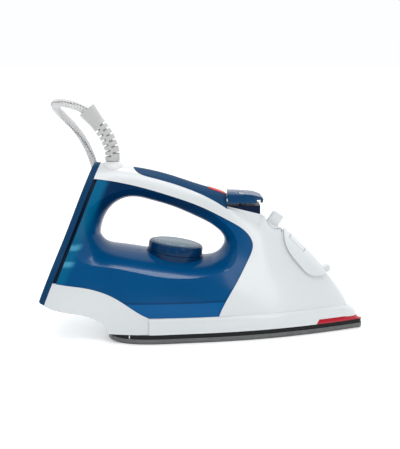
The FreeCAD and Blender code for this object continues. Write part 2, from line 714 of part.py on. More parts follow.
def cord_ball():
    ball = Part.makeSphere(BALL_R, BALL)
    ball = ball.cut(block(-LENGTH, LENGTH, -REACH, REACH, GUARD_ROUTE[0].z, TOP + 60))
    ball = ball.cut(block(-LENGTH, LENGTH, -REACH, REACH, 0, BALL.z - 7.5))
    return ball.cut(upright(BALL.x, 0, BALL.z - 20, TOP, CORD_D + 0.4))


GUARD_END = GUARD_ROUTE[-1]
GUARD_WAY = (GUARD_END - GUARD_ROUTE[-2]).normalize()
CORE_END = GUARD_END - GUARD_WAY * (FLARE_L - 1.0)


def cord_guard():
    """Slotted sleeve with a flared mouth that leaves the lead room to bend."""
    core_line = rounded_route(GUARD_ROUTE)
    start = GUARD_END - GUARD_WAY * FLARE_L
    flare = Part.makeCone(GUARD_D / 2, GUARD_END_D / 2, FLARE_L, start, GUARD_WAY)
    guard = swept(core_line, GUARD_D).fuse(flare)
    path = Part.Wire(core_line)
    for index in range(GUARD_SLOTS):
        guard = guard.cut(guard_slot(path, 4.0 + index * 2.55, 1 if index % 2 else -1))
    mouth = Part.makeCone(CORD_D / 2 + 0.3, GUARD_END_D / 2 - 1.0, FLARE_L + 1.0, CORE_END, GUARD_WAY)
    return one(guard.cut(swept(core_line, CORD_D + 0.4)).cut(mouth))


GUARD_SLOTS = 12


def guard_slot(path, distance, side):
    """A slot half way round the guard, on one side of its curve."""
    travelled = 0.0
    for edge in path.Edges:
        if travelled + edge.Length >= distance:
            at = edge.getParameterByLength(distance - travelled)
            centre, way = edge.valueAt(at), edge.tangentAt(at)
            break
        travelled += edge.Length
    out = vec(way.z, 0, -way.x) * side
    slot = Part.makeBox(GUARD_D, 2 * GUARD_D, 1.5, vec(0.8, -GUARD_D, -0.75))
    turn = FreeCAD.Rotation(out, vec(0, side, 0), way, "ZXY")
    slot.Placement = FreeCAD.Placement(centre, turn)
    return slot


def cord_core():
    """The lead inside the ball and the guard."""
    start = vec(BALL.x, 0, BALL.z - 7.5)
    line = [Part.makeLine(start, GUARD_ROUTE[0])] + rounded_route(GUARD_ROUTE[:-1] + [CORE_END])
    return swept(line, CORD_D)


def cord_socket():
    cup = upright(BALL.x, 0, BALL.z - 8.0, TOP, 2 * BALL_R + 7.0).common(hollow)
    cup = cup.cut(heel_slab(-60, PLATE_T + GROOVE_W, -90, 200))
    return one(cup.cut(Part.makeSphere(BALL_R + 0.15, BALL)))


# The lead leaves the guard straight, then runs to the coil behind the iron by a route chosen by hand.
RUN_START = [CORE_END + GUARD_WAY * 0.04, CORE_END + GUARD_WAY * 8.0]
RUN_ROUTE = [
    (-107.5, 0.6, 193.4), (-118, 3.6, 196.2),
    (-127, 10.6, 196.8), (-131.8, 21.5, 195), (-131.5, 33.5, 190), (-126, 44.5, 182),
    (-116.5, 52.5, 170.5), (-107, 57, 154.5), (-100, 60, 133), (-98.5, 63.5, 108),
    (-101.5, 68.5, 82), (-104.8, 73.8, 57), (-104.5, 79.8, 34), (-98, 84, 15.5),
    (-85.5, 86, 5.8), (-68, 84.5, 3.7), (-48, 81.5, 3.5), (-26, 80, 3.4), (-6, 80, 3.4),
]
COIL_X = 20.0
COIL_Y = 118.0
COIL_MID_D = 76.0
COIL_ACROSS = 3
COIL_LAYERS = 2
TAIL_ROUTE = [(-6.0, 156.0, 3.4), (-22.0, 156.3, 3.5), (-36.0, 155.6, 5.0),
              (-48.0, 154.0, 9.5), (-59.0, 152.6, 15.0), (-70.0, 152, 18.0)]
PLUG_D = 36.0
PLUG_L = 31.0
RELIEF_L = 22.0
PLUG_PIN_D = 4.8
PLUG_PIN_L = 19.0
PLUG_PINS_APART = 19.0


def cord_places(points):
    return [vec(x, y, z) for x, y, z in points]


def cord_coil():
    across = COIL_ACROSS * CORD_D
    height = COIL_LAYERS * CORD_D
    soft = CORD_D * 0.4
    x0, x1 = COIL_MID_D / 2 - across / 2, COIL_MID_D / 2 + across / 2
    corners = [(x0 + soft, 0), (x1 - soft, 0), (x1, soft), (x1, height - soft),
               (x1 - soft, height), (x0 + soft, height), (x0, height - soft), (x0, soft)]
    places = [vec(COIL_X + r, COIL_Y, z) for r, z in corners]
    face = Part.Face(Part.makePolygon(places + [places[0]]))
    ring = face.revolve(vec(COIL_X, COIL_Y, 0), vec(0, 0, 1), 360)
    return one(ring.cut(tie_ring(0.0)))


def tie_ring(grow):
    """Hook-and-loop tie round the coil's section, on its far right."""
    across = COIL_ACROSS * CORD_D
    height = COIL_LAYERS * CORD_D
    middle = COIL_X + COIL_MID_D / 2
    wide = block(middle - across / 2 - 0.6, middle + across / 2 + 0.6, COIL_Y - 7, COIL_Y + 7,
                 0.0, height + 0.6)
    core = block(middle - across / 2 + 0.6, middle + across / 2 - 0.6, COIL_Y - 8, COIL_Y + 8,
                 0.8, height - 0.6)
    return wide.cut(core)


def cord_tie():
    return tie_ring(0.0)


def cord_run():
    tube = swept(rounded_route(RUN_START + cord_places(RUN_ROUTE), "cord_run"), CORD_D)
    print("cord_run section x length", round(tube.Volume / (math.pi * CORD_D ** 2 / 4)))
    return one(tube.cut(cord_coil()))


def cord_tail():
    tube = swept(rounded_route(cord_places(TAIL_ROUTE), "cord_tail"), CORD_D)
    return one(tube.cut(cord_coil()))


def plug_place():
    """Where the lead enters the plug, and the way it points."""
    before, end = cord_places(TAIL_ROUTE[-2:])
    return end, vec(-1, 0, 0), (end - before).normalize()


def plug_body():
    end, way, _ = plug_place()
    relief = Part.makeCone(CORD_D / 2 + 1.0, CORD_D / 2 + 3.6, RELIEF_L, end, way)
    start = end + way * RELIEF_L
    neck = Part.makeCone(CORD_D / 2 + 3.6, PLUG_D / 2, 9.0, start, way)
    head = Part.makeCylinder(PLUG_D / 2, PLUG_L - 9.0, start + way * 9.0, way)
    plug = relief.fuse(neck).fuse(head)
    plug = plug.cut(Part.makeCylinder(CORD_D / 2, 6.0, end - way, way))
    for side in (-1, 1):
        hole = vec(0, side * PLUG_PINS_APART / 2, 0)
        plug = plug.cut(Part.makeCylinder(PLUG_PIN_D / 2, 10, start + way * (PLUG_L - 9) + hole, way))
    return one(plug)


def plug_pin(side):
    end, way, _ = plug_place()
    foot = end + way * (RELIEF_L + PLUG_L - 9) + vec(0, side * PLUG_PINS_APART / 2, 0)
    shank = Part.makeCylinder(PLUG_PIN_D / 2, 9 + PLUG_PIN_L - 2.4, foot, way)
    tip = Part.makeSphere(PLUG_PIN_D / 2, foot + way * (9 + PLUG_PIN_L - 2.4))
    return one(shank.fuse(tip))


# ----------------------------------------------------------------- buttons and their pumps
def turret_plug(grow):
    """Neck of the turret that passes down through the shell."""
    half = PUMP_APART / 2 + ROD_D / 2 + 1.3 + grow
    return block(PUMP_X - 8.0 - grow, PUMP_X + 8.0 + grow, -half, half,
                 PLUG_FOOT, TURRET_TOP - 1.0)


def turret_base():
    half = BUTTON_W / 2 - 2.4
    above_seat = side_prism([SEAT] + straight(SEAT[-1], (SEAT[-1][0], TOP), (SEAT[0][0], TOP),
                                              SEAT[0]))
    shoulder = outer.cut(above_seat)
    head = block(TURRET_REAR, TURRET_FRONT, -half, half, at_z(94), TURRET_TOP).cut(shoulder)
    turret = one(head).fuse(turret_plug(0.0))
    for y in PUMP_Y:
        turret = turret.cut(upright(PUMP_X, y, SPRING_FOOT, TOP, SPRING_D + SPRING_WIRE + 1.0))
        turret = turret.cut(upright(PUMP_X, y, 0, TOP, ROD_D + 2 * RUN))
    return one(turret)


PUMP_Y = (-PUMP_APART / 2, PUMP_APART / 2)


def button_pair():
    """Both caps in one, hollow over the turret."""
    rear, low = TURRET_REAR, CAP_FOOT
    side = [(rear, low), (rear, CAP_TOP), (at_x(30), CAP_TOP - 0.4), (at_x(42), CAP_TOP - 1.7),
            (at_x(48.4), CAP_TOP - 3.6), (at_x(50.8), CAP_TOP - 6.2), (at_x(49.8), low)]
    cap = side_polygon(side)
    half = BUTTON_W / 2
    plan = mirrored([(rear, half), (at_x(40), half - 0.6), (at_x(46.5), half - 2.4),
                     (at_x(50), half - 5.5), (at_x(51.4), half - 9.5)])
    cap = cap.common(plan_prism(plan, low - 1, TOP))
    front = [(half, low - 1), (half, CAP_TOP - 4.2), (half - 1.3, CAP_TOP - 1.3),
             (half - 4.5, CAP_TOP)]
    places = [vec(rear - 1, y, z) for y, z in front]
    places += [vec(rear - 1, -y, z) for y, z in reversed(front)]
    arch = Part.Face(Part.makePolygon(places + [places[0]])).extrude(vec(60 * LENGTH / 278, 0, 0))
    cap = cap.common(arch)
    room_half = half - 1.9
    return cap.cut(block(rear - 1, TURRET_FRONT + 0.5, -room_half, room_half, 0, CAP_ROOF))


def button(side):
    near, far = (0.25, REACH) if side > 0 else (-REACH, -0.25)
    half = block(0, LENGTH, near, far, 0, TOP)
    cap = button_pair().common(half)
    y = PUMP_Y[1] if side > 0 else PUMP_Y[0]
    return one(cap.cut(upright(PUMP_X, y, 0, CAP_ROOF + 1.5, ROD_D)))


def piston(y):
    shank = upright(PUMP_X, y, PLUG_FOOT - 8.0, CAP_ROOF + 1.5, ROD_D)
    return shank.fuse(upright(PUMP_X, y, PLUG_FOOT - 8.0, PLUG_FOOT - 3.0, PISTON_D))


def pump(y):
    barrel = upright(PUMP_X, y, PLUG_FOOT - 24, PLUG_FOOT, PUMP_D)
    barrel = barrel.cut(upright(PUMP_X, y, PLUG_FOOT - 22, PLUG_FOOT + 1, PISTON_D + 2 * RUN))
    barrel = barrel.fuse(upright(PUMP_X, y, PLUG_FOOT - 28, PLUG_FOOT - 24, PIPE_D - 1.2))
    return one(barrel)


def button_spring(y):
    """Compression spring round the rod, closed flat at both ends."""
    low, high = SPRING_FOOT + 0.1, CAP_ROOF - 0.1
    coils = 5
    wire = SPRING_WIRE / 2
    pitch = (high - low - SPRING_WIRE) / coils
    helix = Part.makeHelix(pitch, high - low - SPRING_WIRE, SPRING_D / 2)
    helix.translate(vec(PUMP_X, y, low + wire))
    ring = Part.Wire([Part.makeCircle(wire, vec(PUMP_X + SPRING_D / 2, y, low + wire), vec(0, 1, 0))])
    return one(Part.Wire(helix).makePipeShell([ring], True, True))


def steam_pipe():
    y = PUMP_Y[0]
    pipe = upright(PUMP_X, y, COVER_TOP, PLUG_FOOT - 24.0, PIPE_D)
    return pipe.cut(upright(PUMP_X, y, 0, TOP, PIPE_D - 1.2))


def spray_hose():
    y = PUMP_Y[1]
    foot = PLUG_FOOT - 28.0
    points = [vec(PUMP_X, y, foot), vec(PUMP_X + 0.6, y, foot - 5.5),
              vec(at_x(52), at_y(9.6), at_z(60.5)), vec(at_x(70), at_y(10), at_z(57.5)),
              vec(at_x(84), at_y(8.0), at_z(51.5)), vec(at_x(93), at_y(3.0), at_z(48.2)),
              vec(at_x(98), 0, at_z(47.6))]
    return swept(rounded_route(points), 3.0)


# ------------------------------------------------------------------ selector and its valve
def selector_knob():
    disc = Part.makeCylinder(RECESS_D / 2 - 0.5, 3.4, vec(0, 0, -3.9))
    grip = Part.makeBox(KNOB_L, KNOB_T, KNOB_TALL + 1.0, vec(-KNOB_L / 2, -KNOB_T / 2, -1.0))
    upright_edges = [e for e in grip.Edges if e.BoundBox.ZLength > KNOB_TALL]
    grip = grip.makeFillet(2.0, upright_edges)
    crown = [e for e in grip.Edges if e.BoundBox.ZMin > KNOB_TALL - 0.01]
    grip = grip.makeFillet(1.6, crown)
    knob = disc.fuse(grip).cut(Part.makeCylinder(VALVE_ROD_D / 2, 8, vec(0, 0, -5)))
    return one(leaning(knob, KNOB_BASE, KNOB_LEAN))


VALVE_DEPTH = (KNOB_BASE.z - at_z(30.0)) / KNOB_WAY.z


def valve_rod():
    bar = Part.makeCylinder(VALVE_ROD_D / 2, VALVE_DEPTH + 3.0, vec(0, 0, -VALVE_DEPTH))
    return leaning(bar, KNOB_BASE, KNOB_LEAN)


def valve_seat():
    """Dosing valve under the rod, through the tank's floor into the chamber's cover."""
    seat = upright(VALVE_X, 0, SHIELD_TOP - 1.0, at_z(27.5), 7.6)
    seat = seat.fuse(upright(VALVE_X, 0, COVER_TOP, SHIELD_TOP, 5.0))
    return one(seat.cut(upright(VALVE_X, 0, 0, TOP, 2.2)))


# -------------------------------------------------------------------------- nose and filler
def nose_cover():
    ends = straight(COVER_EDGE[-1], (at_x(125), at_z(60)), (at_x(90), TOP), COVER_EDGE[0])
    zone = side_prism([COVER_EDGE] + ends)
    skin = envelope(-COVER_T).cut(envelope(0.0)).common(zone)
    slot = block(DOOR_L / 2, HINGE.x + KNUCKLE_D / 2 + 0.4, -TONGUE_W / 2 - 0.3,
                 TONGUE_W / 2 + 0.3, -3, 9)
    skin = skin.cut(door_prism(DOOR_GAP)).cut(leaning(slot, DOOR_BASE, NOSE_LEAN))
    skin = skin.cut(across_hinge(PIN_D, PIN_L))
    nozzle_hole = Part.makeCylinder(NOZZLE_D / 2, 20, NOZZLE_BASE - NOZZLE_WAY * 10, NOZZLE_WAY)
    return one(skin.cut(nozzle_hole))


NOZZLE_D = 7.6
NOZZLE_BASE = vec(at_x(102.0), 0, at_z(51.0))
NOZZLE_WAY = axis_of(68.0)


def spray_nozzle():
    body = Part.makeCylinder(NOZZLE_D / 2, 7.0, NOZZLE_BASE, NOZZLE_WAY)
    foot = NOZZLE_BASE + NOZZLE_WAY * 7.0
    lip = Part.makeCone(NOZZLE_D / 2, NOZZLE_D / 2 - 1.2, 1.6, foot, NOZZLE_WAY)
    body = body.fuse(lip)
    body = body.cut(Part.makeCylinder(0.7, 20, NOZZLE_BASE - NOZZLE_WAY, NOZZLE_WAY))
    return one(body.cut(envelope(0.0)).cut(hollow))


HINGE = vec(DOOR_L / 2 + 2.0, 0, 0.4)      # pin's axis, from the door's base point
TONGUE_W = 4.4
KNUCKLE_D = 2.4
PIN_L = 7.4


def door_prism(grow):
    """The door's outline carried down through the nose."""
    along, across = DOOR_L / 2 + grow, DOOR_W / 2 + grow
    return leaning(block(-along, along, -across, across, -12, 9), DOOR_BASE, NOSE_LEAN)


def across_hinge(diameter, width):
    bar = Part.makeCylinder(diameter / 2, width, HINGE - vec(0, width / 2, 0), vec(0, 1, 0))
    return leaning(bar, DOOR_BASE, NOSE_LEAN)


def filler_door():
    """Curved lid with a plug for the duct and a tongue to the hinge pin."""
    lid = envelope(-COVER_T).cut(envelope(-0.4)).common(door_prism(0.0))
    tongue = block(DOOR_L / 2 - 1.0, HINGE.x, -TONGUE_W / 2, TONGUE_W / 2, HINGE.z,
                   HINGE.z + 0.8)
    plug = Part.makeCylinder(DUCT_D / 2 - 2.0, 3.1, vec(0, 0, -2.5))
    lid = lid.fuse(leaning(tongue.fuse(plug), DOOR_BASE, NOSE_LEAN))
    lid = lid.fuse(across_hinge(KNUCKLE_D, TONGUE_W))
    return one(lid.cut(across_hinge(PIN_D + 2 * RUN, TONGUE_W + 2)))


def hinge_pin():
    return across_hinge(PIN_D, PIN_L)


# ------------------------------------------------------------------------- thermostat dial
def dial_ring():
    ring = Part.makeCylinder(RING_D / 2, RING_H + 8.0, vec(0, 0, -8.0))
    ring = ring.cut(Part.makeCylinder(RING_D / 2 - 3.2, RING_H + 20.0, vec(0, 0, -10.0)))
    ring = leaning(ring, DIAL_BASE, DIAL_TILT)
    return one(ring.cut(envelope(STEP).cut(opening(STEP))))


def dial_profile(corners):
    places = [vec(r, 0, z) for r, z in corners]
    face = Part.Face(Part.makePolygon(places + [places[0]]))
    return leaning(face.revolve(vec(0, 0, 0), vec(0, 0, 1), 360), DIAL_BASE, DIAL_TILT)


def thermostat_dial():
    low, high = RING_H + FIT, RING_H + FIT + DIAL_H
    radius = DIAL_D / 2
    hub, bore = SHAFT_D / 2 + 3.0, SHAFT_D / 2
    corners = [(bore, low + 1.0), (hub, low + 1.0), (hub, high - 2.4), (radius - 2.2, high - 2.4),
               (radius - 2.2, low), (radius, low), (radius, high - 2.2), (radius - 0.8, high - 0.7),
               (radius - 3.0, high), (radius - 3.8, high), (radius - 3.8, high - 0.8),
               (bore, high - 0.8)]
    return one(dial_profile(corners))


def dial_cap():
    high = RING_H + FIT + DIAL_H
    radius = DIAL_D / 2 - 3.8
    return one(dial_profile([(0, high - 0.8), (radius, high - 0.8), (radius, high - 0.1),
                             (radius - 0.6, high + 0.2), (0, high + 0.2)]))


def thermostat_shaft():
    """From the dial's hub down to the thermostat's spindle."""
    foot = dial_axis_at(COVER_TOP + 1.5) + DIAL_WAY * 9.1
    bar = Part.makeCylinder(SHAFT_D / 2, (DIAL_BASE - foot).Length + RING_H + FIT + DIAL_H - 0.8,
                            foot, DIAL_WAY)
    return bar


# --------------------------------------------------------------------------------- all parts
MAKERS = {
    "soleplate": soleplate, "heating_element": heating_element,
    "steam_chamber_cover": steam_chamber_cover, "heat_shield": heat_shield,
    "thermostat": thermostat, "thermal_fuse": thermal_fuse,
    "lower_housing": lower_housing, "tip_accent": tip_accent,
    "water_tank": water_tank, "tank_base": tank_base, "tank_front": tank_front,
    "filler_duct": filler_duct, "body_shell": body_shell, "grip_pad": grip_pad,
    "pilot_lens": pilot_lens, "pilot_lamp": pilot_lamp,
    "rear_cover": rear_cover, "rear_bulkhead": rear_bulkhead,
    "terminal_block": terminal_block, "cord_clamp": cord_clamp,
    "cord_socket": cord_socket, "cord_ball": cord_ball, "cord_guard": cord_guard,
    "cord_core": cord_core, "cord_run": cord_run, "cord_coil": cord_coil,
    "cord_tail": cord_tail, "cord_tie": cord_tie, "plug_body": plug_body,
    "turret_base": turret_base, "steam_pipe": steam_pipe, "spray_hose": spray_hose,
    "selector_knob": selector_knob, "valve_rod": valve_rod, "valve_seat": valve_seat,
    "nose_cover": nose_cover, "spray_nozzle": spray_nozzle, "filler_door": filler_door,
    "hinge_pin": hinge_pin, "dial_ring": dial_ring, "thermostat_dial": thermostat_dial,
    "dial_cap": dial_cap, "thermostat_shaft": thermostat_shaft,
}
for label, sign, y in (("steam", -1, PUMP_Y[0]), ("spray", 1, PUMP_Y[1])):
    parts[label + "_button"] = button(sign)
    parts[label + "_piston"] = piston(y)
    parts[label + "_pump"] = pump(y)
    parts[label + "_spring"] = button_spring(y)
for label, sign in (("left", 1), ("right", -1)):
    parts["lead_" + label] = internal_lead(sign)
    parts["rear_screw_" + label] = rear_screw(sign * REAR_SCREW_Y)
    parts["plug_pin_" + label] = plug_pin(sign)
for label, (x, y) in zip(("front", "right", "left"), SCREWS):
    parts["sole_screw_" + label] = sole_screw(x, y)
for label, maker in MAKERS.items():
    parts[label] = maker()

os.makedirs("parts", exist_ok=True)
for label, shape in sorted(parts.items()):
    shape.exportStep("parts/" + label + ".step")
    print(label, len(shape.Solids), shape.isValid(), round(shape.Volume))
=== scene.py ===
import math

import bpy
from mathutils import Matrix, Vector


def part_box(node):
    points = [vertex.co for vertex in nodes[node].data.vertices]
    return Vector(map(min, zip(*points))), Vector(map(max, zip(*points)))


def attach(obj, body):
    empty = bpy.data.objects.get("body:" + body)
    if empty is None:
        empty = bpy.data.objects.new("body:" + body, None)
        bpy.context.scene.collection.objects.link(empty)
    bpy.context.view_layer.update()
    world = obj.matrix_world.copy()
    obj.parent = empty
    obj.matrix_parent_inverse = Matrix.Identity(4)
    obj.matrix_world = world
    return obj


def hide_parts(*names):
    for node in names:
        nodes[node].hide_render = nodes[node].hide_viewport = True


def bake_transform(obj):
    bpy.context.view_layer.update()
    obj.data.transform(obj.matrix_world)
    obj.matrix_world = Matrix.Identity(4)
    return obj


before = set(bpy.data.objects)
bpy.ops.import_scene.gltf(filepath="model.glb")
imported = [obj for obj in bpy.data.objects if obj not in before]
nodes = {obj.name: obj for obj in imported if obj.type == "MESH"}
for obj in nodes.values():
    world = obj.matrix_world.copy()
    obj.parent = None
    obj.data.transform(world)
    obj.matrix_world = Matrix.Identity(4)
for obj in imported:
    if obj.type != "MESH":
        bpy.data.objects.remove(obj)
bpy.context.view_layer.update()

# Studio. The iron stands on a pale table, seen from its right side and a little above,
# under four lamps and a bright white room.
LOOK_AT = Vector((-0.004, 0, 0.0915))
LOOK_FROM = 0.85
LOOK_DOWN = math.radians(10)
eye = bpy.data.cameras.new("eye")
eye.lens = 78.2
camera = bpy.data.objects.new("eye", eye)
bpy.context.scene.collection.objects.link(camera)
camera.location = LOOK_AT + LOOK_FROM * Vector((0, -math.cos(LOOK_DOWN), math.sin(LOOK_DOWN)))
camera.rotation_euler = (math.pi / 2 - LOOK_DOWN, 0, 0)
bpy.context.scene.camera = camera
bpy.context.scene.view_settings.view_transform = "Standard"

for name, place, size, power in (
        ("lamp_overhead", (-0.10, -0.45, 1.05), (1.2, 0.35), 3.8),
        ("lamp_shoulder", (0.02, 0.30, 1.10), (0.5, 0.2), 3.4),
        ("lamp_front", (0.62, -0.75, 0.50), (0.12, 0.5), 1.1),
        ("lamp_rear", (-0.6, 0.9, 0.8), (0.9, 0.6), 1.1)):
    lamp = bpy.data.lights.new(name, "AREA")
    lamp.shape = "RECTANGLE"
    lamp.size, lamp.size_y = size
    lamp.energy = power
    holder = bpy.data.objects.new(name, lamp)
    bpy.context.scene.collection.objects.link(holder)
    holder.location = place
    holder.rotation_euler = (LOOK_AT - holder.location).to_track_quat("-Z", "Y").to_euler()

# The room is white overhead and behind the iron, and dimmer in front of it, so that the blue
# flank stays deep.
room = bpy.data.worlds.new("room")
room.use_nodes = True
walls = room.node_tree
toward = walls.nodes.new("ShaderNodeSeparateXYZ")
walls.links.new(walls.nodes.new("ShaderNodeTexCoord").outputs["Generated"], toward.inputs[0])
shades = []
for axis, start, end, dim, bright in (("Y", -0.75, 0.15, 0.34, 1.0), ("Z", 0.2, 0.75, 0.0, 0.75)):
    span = walls.nodes.new("ShaderNodeMapRange")
    span.interpolation_type = "SMOOTHSTEP"
    walls.links.new(toward.outputs[axis], span.inputs["Value"])
    for socket, value in (("From Min", start), ("From Max", end), ("To Min", dim), ("To Max", bright)):
        span.inputs[socket].default_value = value
    shades.append(span.outputs["Result"])
brighter = walls.nodes.new("ShaderNodeMath")
brighter.operation = "MAXIMUM"
for socket, shade in zip(brighter.inputs, shades):
    walls.links.new(shade, socket)
walls.nodes["Background"].inputs["Color"].default_value = (0.985, 0.99, 1.0, 1)
walls.links.new(brighter.outputs[0], walls.nodes["Background"].inputs["Strength"])
bpy.context.scene.world = room


class Value:
    """A socket in a finish, with arithmetic."""

    def __init__(self, finish, socket):
        self.finish, self.socket = finish, socket

    def sum(self, operation, other, swap=False):
        pair = (other, self) if swap else (self, other)
        return self.finish.node("ShaderNodeMath", {"operation": operation}, *pair)

    def __add__(self, other):
        return self.sum("ADD", other)

    def __sub__(self, other):
        return self.sum("SUBTRACT", other)

    def __rsub__(self, other):
        return self.sum("SUBTRACT", other, True)

    def __mul__(self, other):
        return self.sum("MULTIPLY", other)

    def __truediv__(self, other):
        return self.sum("DIVIDE", other)

    def __gt__(self, other):
        return self.sum("GREATER_THAN", other)

    def __lt__(self, other):
        return self.sum("LESS_THAN", other)

    def fade(self, start, end):
        """0 before start and 1 after end, smooth between."""
        ranged = {"interpolation_type": "SMOOTHSTEP"}
        return self.finish.node("ShaderNodeMapRange", ranged, self, start, end, 0.0, 1.0)


class Finish:
    """A material on one Principled shader, whose sockets are set by name."""

    def __init__(self, name, color, **sockets):
        self.material = bpy.data.materials.new(name)
        self.material.use_nodes = True
        self.tree = self.material.node_tree
        self.shader = self.tree.nodes["Principled BSDF"]
        self.set(Base_Color=color, **sockets)

    def set(self, **sockets):
        for name, value in sockets.items():
            self.feed(self.shader.inputs[name.replace("_", " ")], value)
        return self

    def feed(self, socket, value):
        if isinstance(value, Value):
            self.tree.links.new(value.socket, socket)
        elif isinstance(value, tuple) and len(value) == 3 and socket.type == "RGBA":
            socket.default_value = (*value, 1)
        else:
            socket.default_value = value

    def node(self, kind, settings=None, *values, output=0, **named):
        made = self.tree.nodes.new(kind)
        for name, value in (settings or {}).items():
            setattr(made, name, value)
        for index, value in enumerate(values):
            self.feed(made.inputs[index], value)
        for name, value in named.items():
            self.feed(made.inputs[name.replace("_", " ")], value)
        return Value(self, made.outputs[output])

    def place(self, axis):
        """A place on the object along one axis, in metres."""
        spot = self.node("ShaderNodeTexCoord", output="Object")
        return self.node("ShaderNodeSeparateXYZ", None, spot, output="XYZ".index(axis))

    def noise(self, size, detail=2.0, stretch=(1, 1, 1)):
        spot = self.node("ShaderNodeTexCoord", output="Object")
        turned = self.node("ShaderNodeMapping", None, spot, Scale=stretch)
        return self.node("ShaderNodeTexNoise", None, turned, Scale=1 / size, Detail=detail)

    def blend(self, share, first, second):
        """A colour between two, through a Mix node's colour sockets."""
        made = self.tree.nodes.new("ShaderNodeMix")
        made.data_type = "RGBA"
        for index, value in ((0, share), (6, first), (7, second)):
            self.feed(made.inputs[index], value)
        return Value(self, made.outputs[2])

    def wave(self, turns):
        """The sine of a number of turns."""
        return self.node("ShaderNodeMath", {"operation": "SINE"}, turns * math.tau)

    def bump(self, height, depth, strength=1.0):
        return self.set(Normal=self.node("ShaderNodeBump", None, Strength=strength,
                                         Distance=depth, Height=height))


# Table top, a plain pale sheet.
bpy.ops.mesh.primitive_plane_add(size=30, location=(0, 0, -0.0002))
floor = bpy.context.object
floor.name = "table_top"
floor.data.materials.append(Finish("table_white", (0.86, 0.865, 0.87), Roughness=0.6,
                                   Emission_Color=(1.0, 1.0, 1.0), Emission_Strength=0.3).material)

# Mains lead, a white braid with two dark tracer yarns that twist slowly along it, limp. It bends
# out of the guard's flare, drops behind the iron to the table, and is wound into a flat coil
# of two layers, tied, with the tail rising to the plug.
CORD_D = 0.0068
RUN = [
    (-93.33, 0, 181.75), (-98.4, 0, 187.9), (-107.5, 0.6, 193.4), (-118, 3.6, 196.2),
    (-127, 10.6, 196.8), (-131.8, 21.5, 195), (-131.5, 33.5, 190), (-126, 44.5, 182),
    (-116.5, 52.5, 170.5), (-107, 57, 154.5), (-100, 60, 133), (-98.5, 63.5, 108),
    (-101.5, 68.5, 82), (-104.8, 73.8, 57), (-104.5, 79.8, 34), (-98, 84, 15.5),
    (-85.5, 86, 5.8), (-68, 84.5, 3.7), (-48, 81.5, 3.5), (-26, 77, 3.4), (-4, 73.2, 3.4),
]
TAIL = [
    (8, 163, 10.3), (-8, 161, 9.8), (-22, 157.5, 6.5), (-36, 155.6, 5.0), (-48, 154, 9.5),
    (-59, 152.6, 15), (-70, 152, 18),
]
COIL_AT = Vector((0.020, 0.118, 0))
COIL_TURNS = 5.5
COIL_STEPS = 18
COIL_INNER = 0.0312


def step_up(turns, start, end):
    """0 before a stretch of the winding and 1 after it."""
    share = min(max((turns - start) / (end - start), 0), 1)
    return share * share * (3 - 2 * share)


lead_points = [Vector(point) / 1000 for point in RUN]
for step in range(1, int(COIL_TURNS * COIL_STEPS) + 1):
    turns = step / COIL_STEPS
    track = 2 - step_up(turns, 0.76, 0.9) - step_up(turns, 1.76, 1.9)
    track += step_up(turns, 3.52, 3.64) + step_up(turns, 4.52, 4.64)
    angle = (turns - 0.25) * 2 * math.pi
    reach = (COIL_INNER + track * CORD_D * 1.01) / math.cos(math.pi / COIL_STEPS)
    level = CORD_D * (0.5 + 1.01 * step_up(turns, 2.64, 2.76))
    lead_points.append(COIL_AT + Vector((reach * math.cos(angle), reach * math.sin(angle), level)))
lead_points += [Vector(point) / 1000 for point in TAIL]

lead_line = bpy.data.curves.new("mains_lead_line", "CURVE")
lead_line.dimensions = "3D"
spline = lead_line.splines.new("NURBS")
spline.points.add(len(lead_points) - 1)
for point, place in zip(spline.points, lead_points):
    point.co = (*place, 1)
spline.order_u = 3
spline.use_endpoint_u = True
spline.resolution_u = 6
line_object = bpy.data.objects.new("mains_lead_line", lead_line)
bpy.context.scene.collection.objects.link(line_object)
bare = bpy.data.meshes.new_from_object(line_object)
lead_path = [vertex.co.copy() for vertex in bare.vertices]
lead_line.bevel_depth = CORD_D / 2
lead_line.bevel_resolution = 4
lead_line.use_fill_caps = True
bpy.context.view_layer.update()
lead_mesh = bpy.data.meshes.new_from_object(line_object)
bpy.data.objects.remove(line_object)
lead = bpy.data.objects.new("mains_lead", lead_mesh)
bpy.context.scene.collection.objects.link(lead)

# The braid's pattern follows the lead: round it, and along it in metres.
travelled = [0.0]
for before, after in zip(lead_path, lead_path[1:]):
    travelled.append(travelled[-1] + (after - before).length)
around = len(lead_mesh.vertices) // len(lead_path)
braid_map = lead_mesh.uv_layers[0] if lead_mesh.uv_layers else lead_mesh.uv_layers.new()
for face in lead_mesh.polygons:
    face.use_smooth = len(face.vertices) == 4
    spots = [lead_mesh.loops[index].vertex_index % around for index in face.loop_indices]
    wraps = max(spots) - min(spots) > around / 2
    for index, spot in zip(face.loop_indices, spots):
        ring = lead_mesh.loops[index].vertex_index // around
        turned = spot + around if wraps and spot < around / 2 else spot
        braid_map.data[index].uv = (turned / around, travelled[min(ring, len(travelled) - 1)])

STRANDS = 16
STRAND_PITCH = 0.0052
TRACERS = 2
TRACER_TWIST = 0.05
braid = Finish("white_braid", (0.8, 0.8, 0.79), Roughness=0.85, Sheen_Weight=0.3)
spot = braid.node("ShaderNodeTexCoord", output="UV")
round_it = braid.node("ShaderNodeSeparateXYZ", None, spot, output=0)
along_it = braid.node("ShaderNodeSeparateXYZ", None, spot, output=1) / STRAND_PITCH
rising = braid.wave(round_it * STRANDS / 2 + along_it)
falling = braid.wave(round_it * STRANDS / 2 - along_it)
weave = rising * falling
tracer_rows = braid.wave(round_it * TRACERS + along_it * TRACER_TWIST)
tracers = (tracer_rows > 0.88) * (weave > 0.15)
# White cotton with painted shade: darker in the hollows of the weave, lighter on the raised yarns.
cotton_with_weave_shade = braid.blend(weave * 0.5 + 0.5, (0.55, 0.55, 0.55), (0.84, 0.84, 0.83))
braid.set(Base_Color=braid.blend(tracers, cotton_with_weave_shade, (0.03, 0.03, 0.035)))
braid.bump(weave, 0.0003)
lead_mesh.materials.clear()
lead_mesh.materials.append(braid.material)
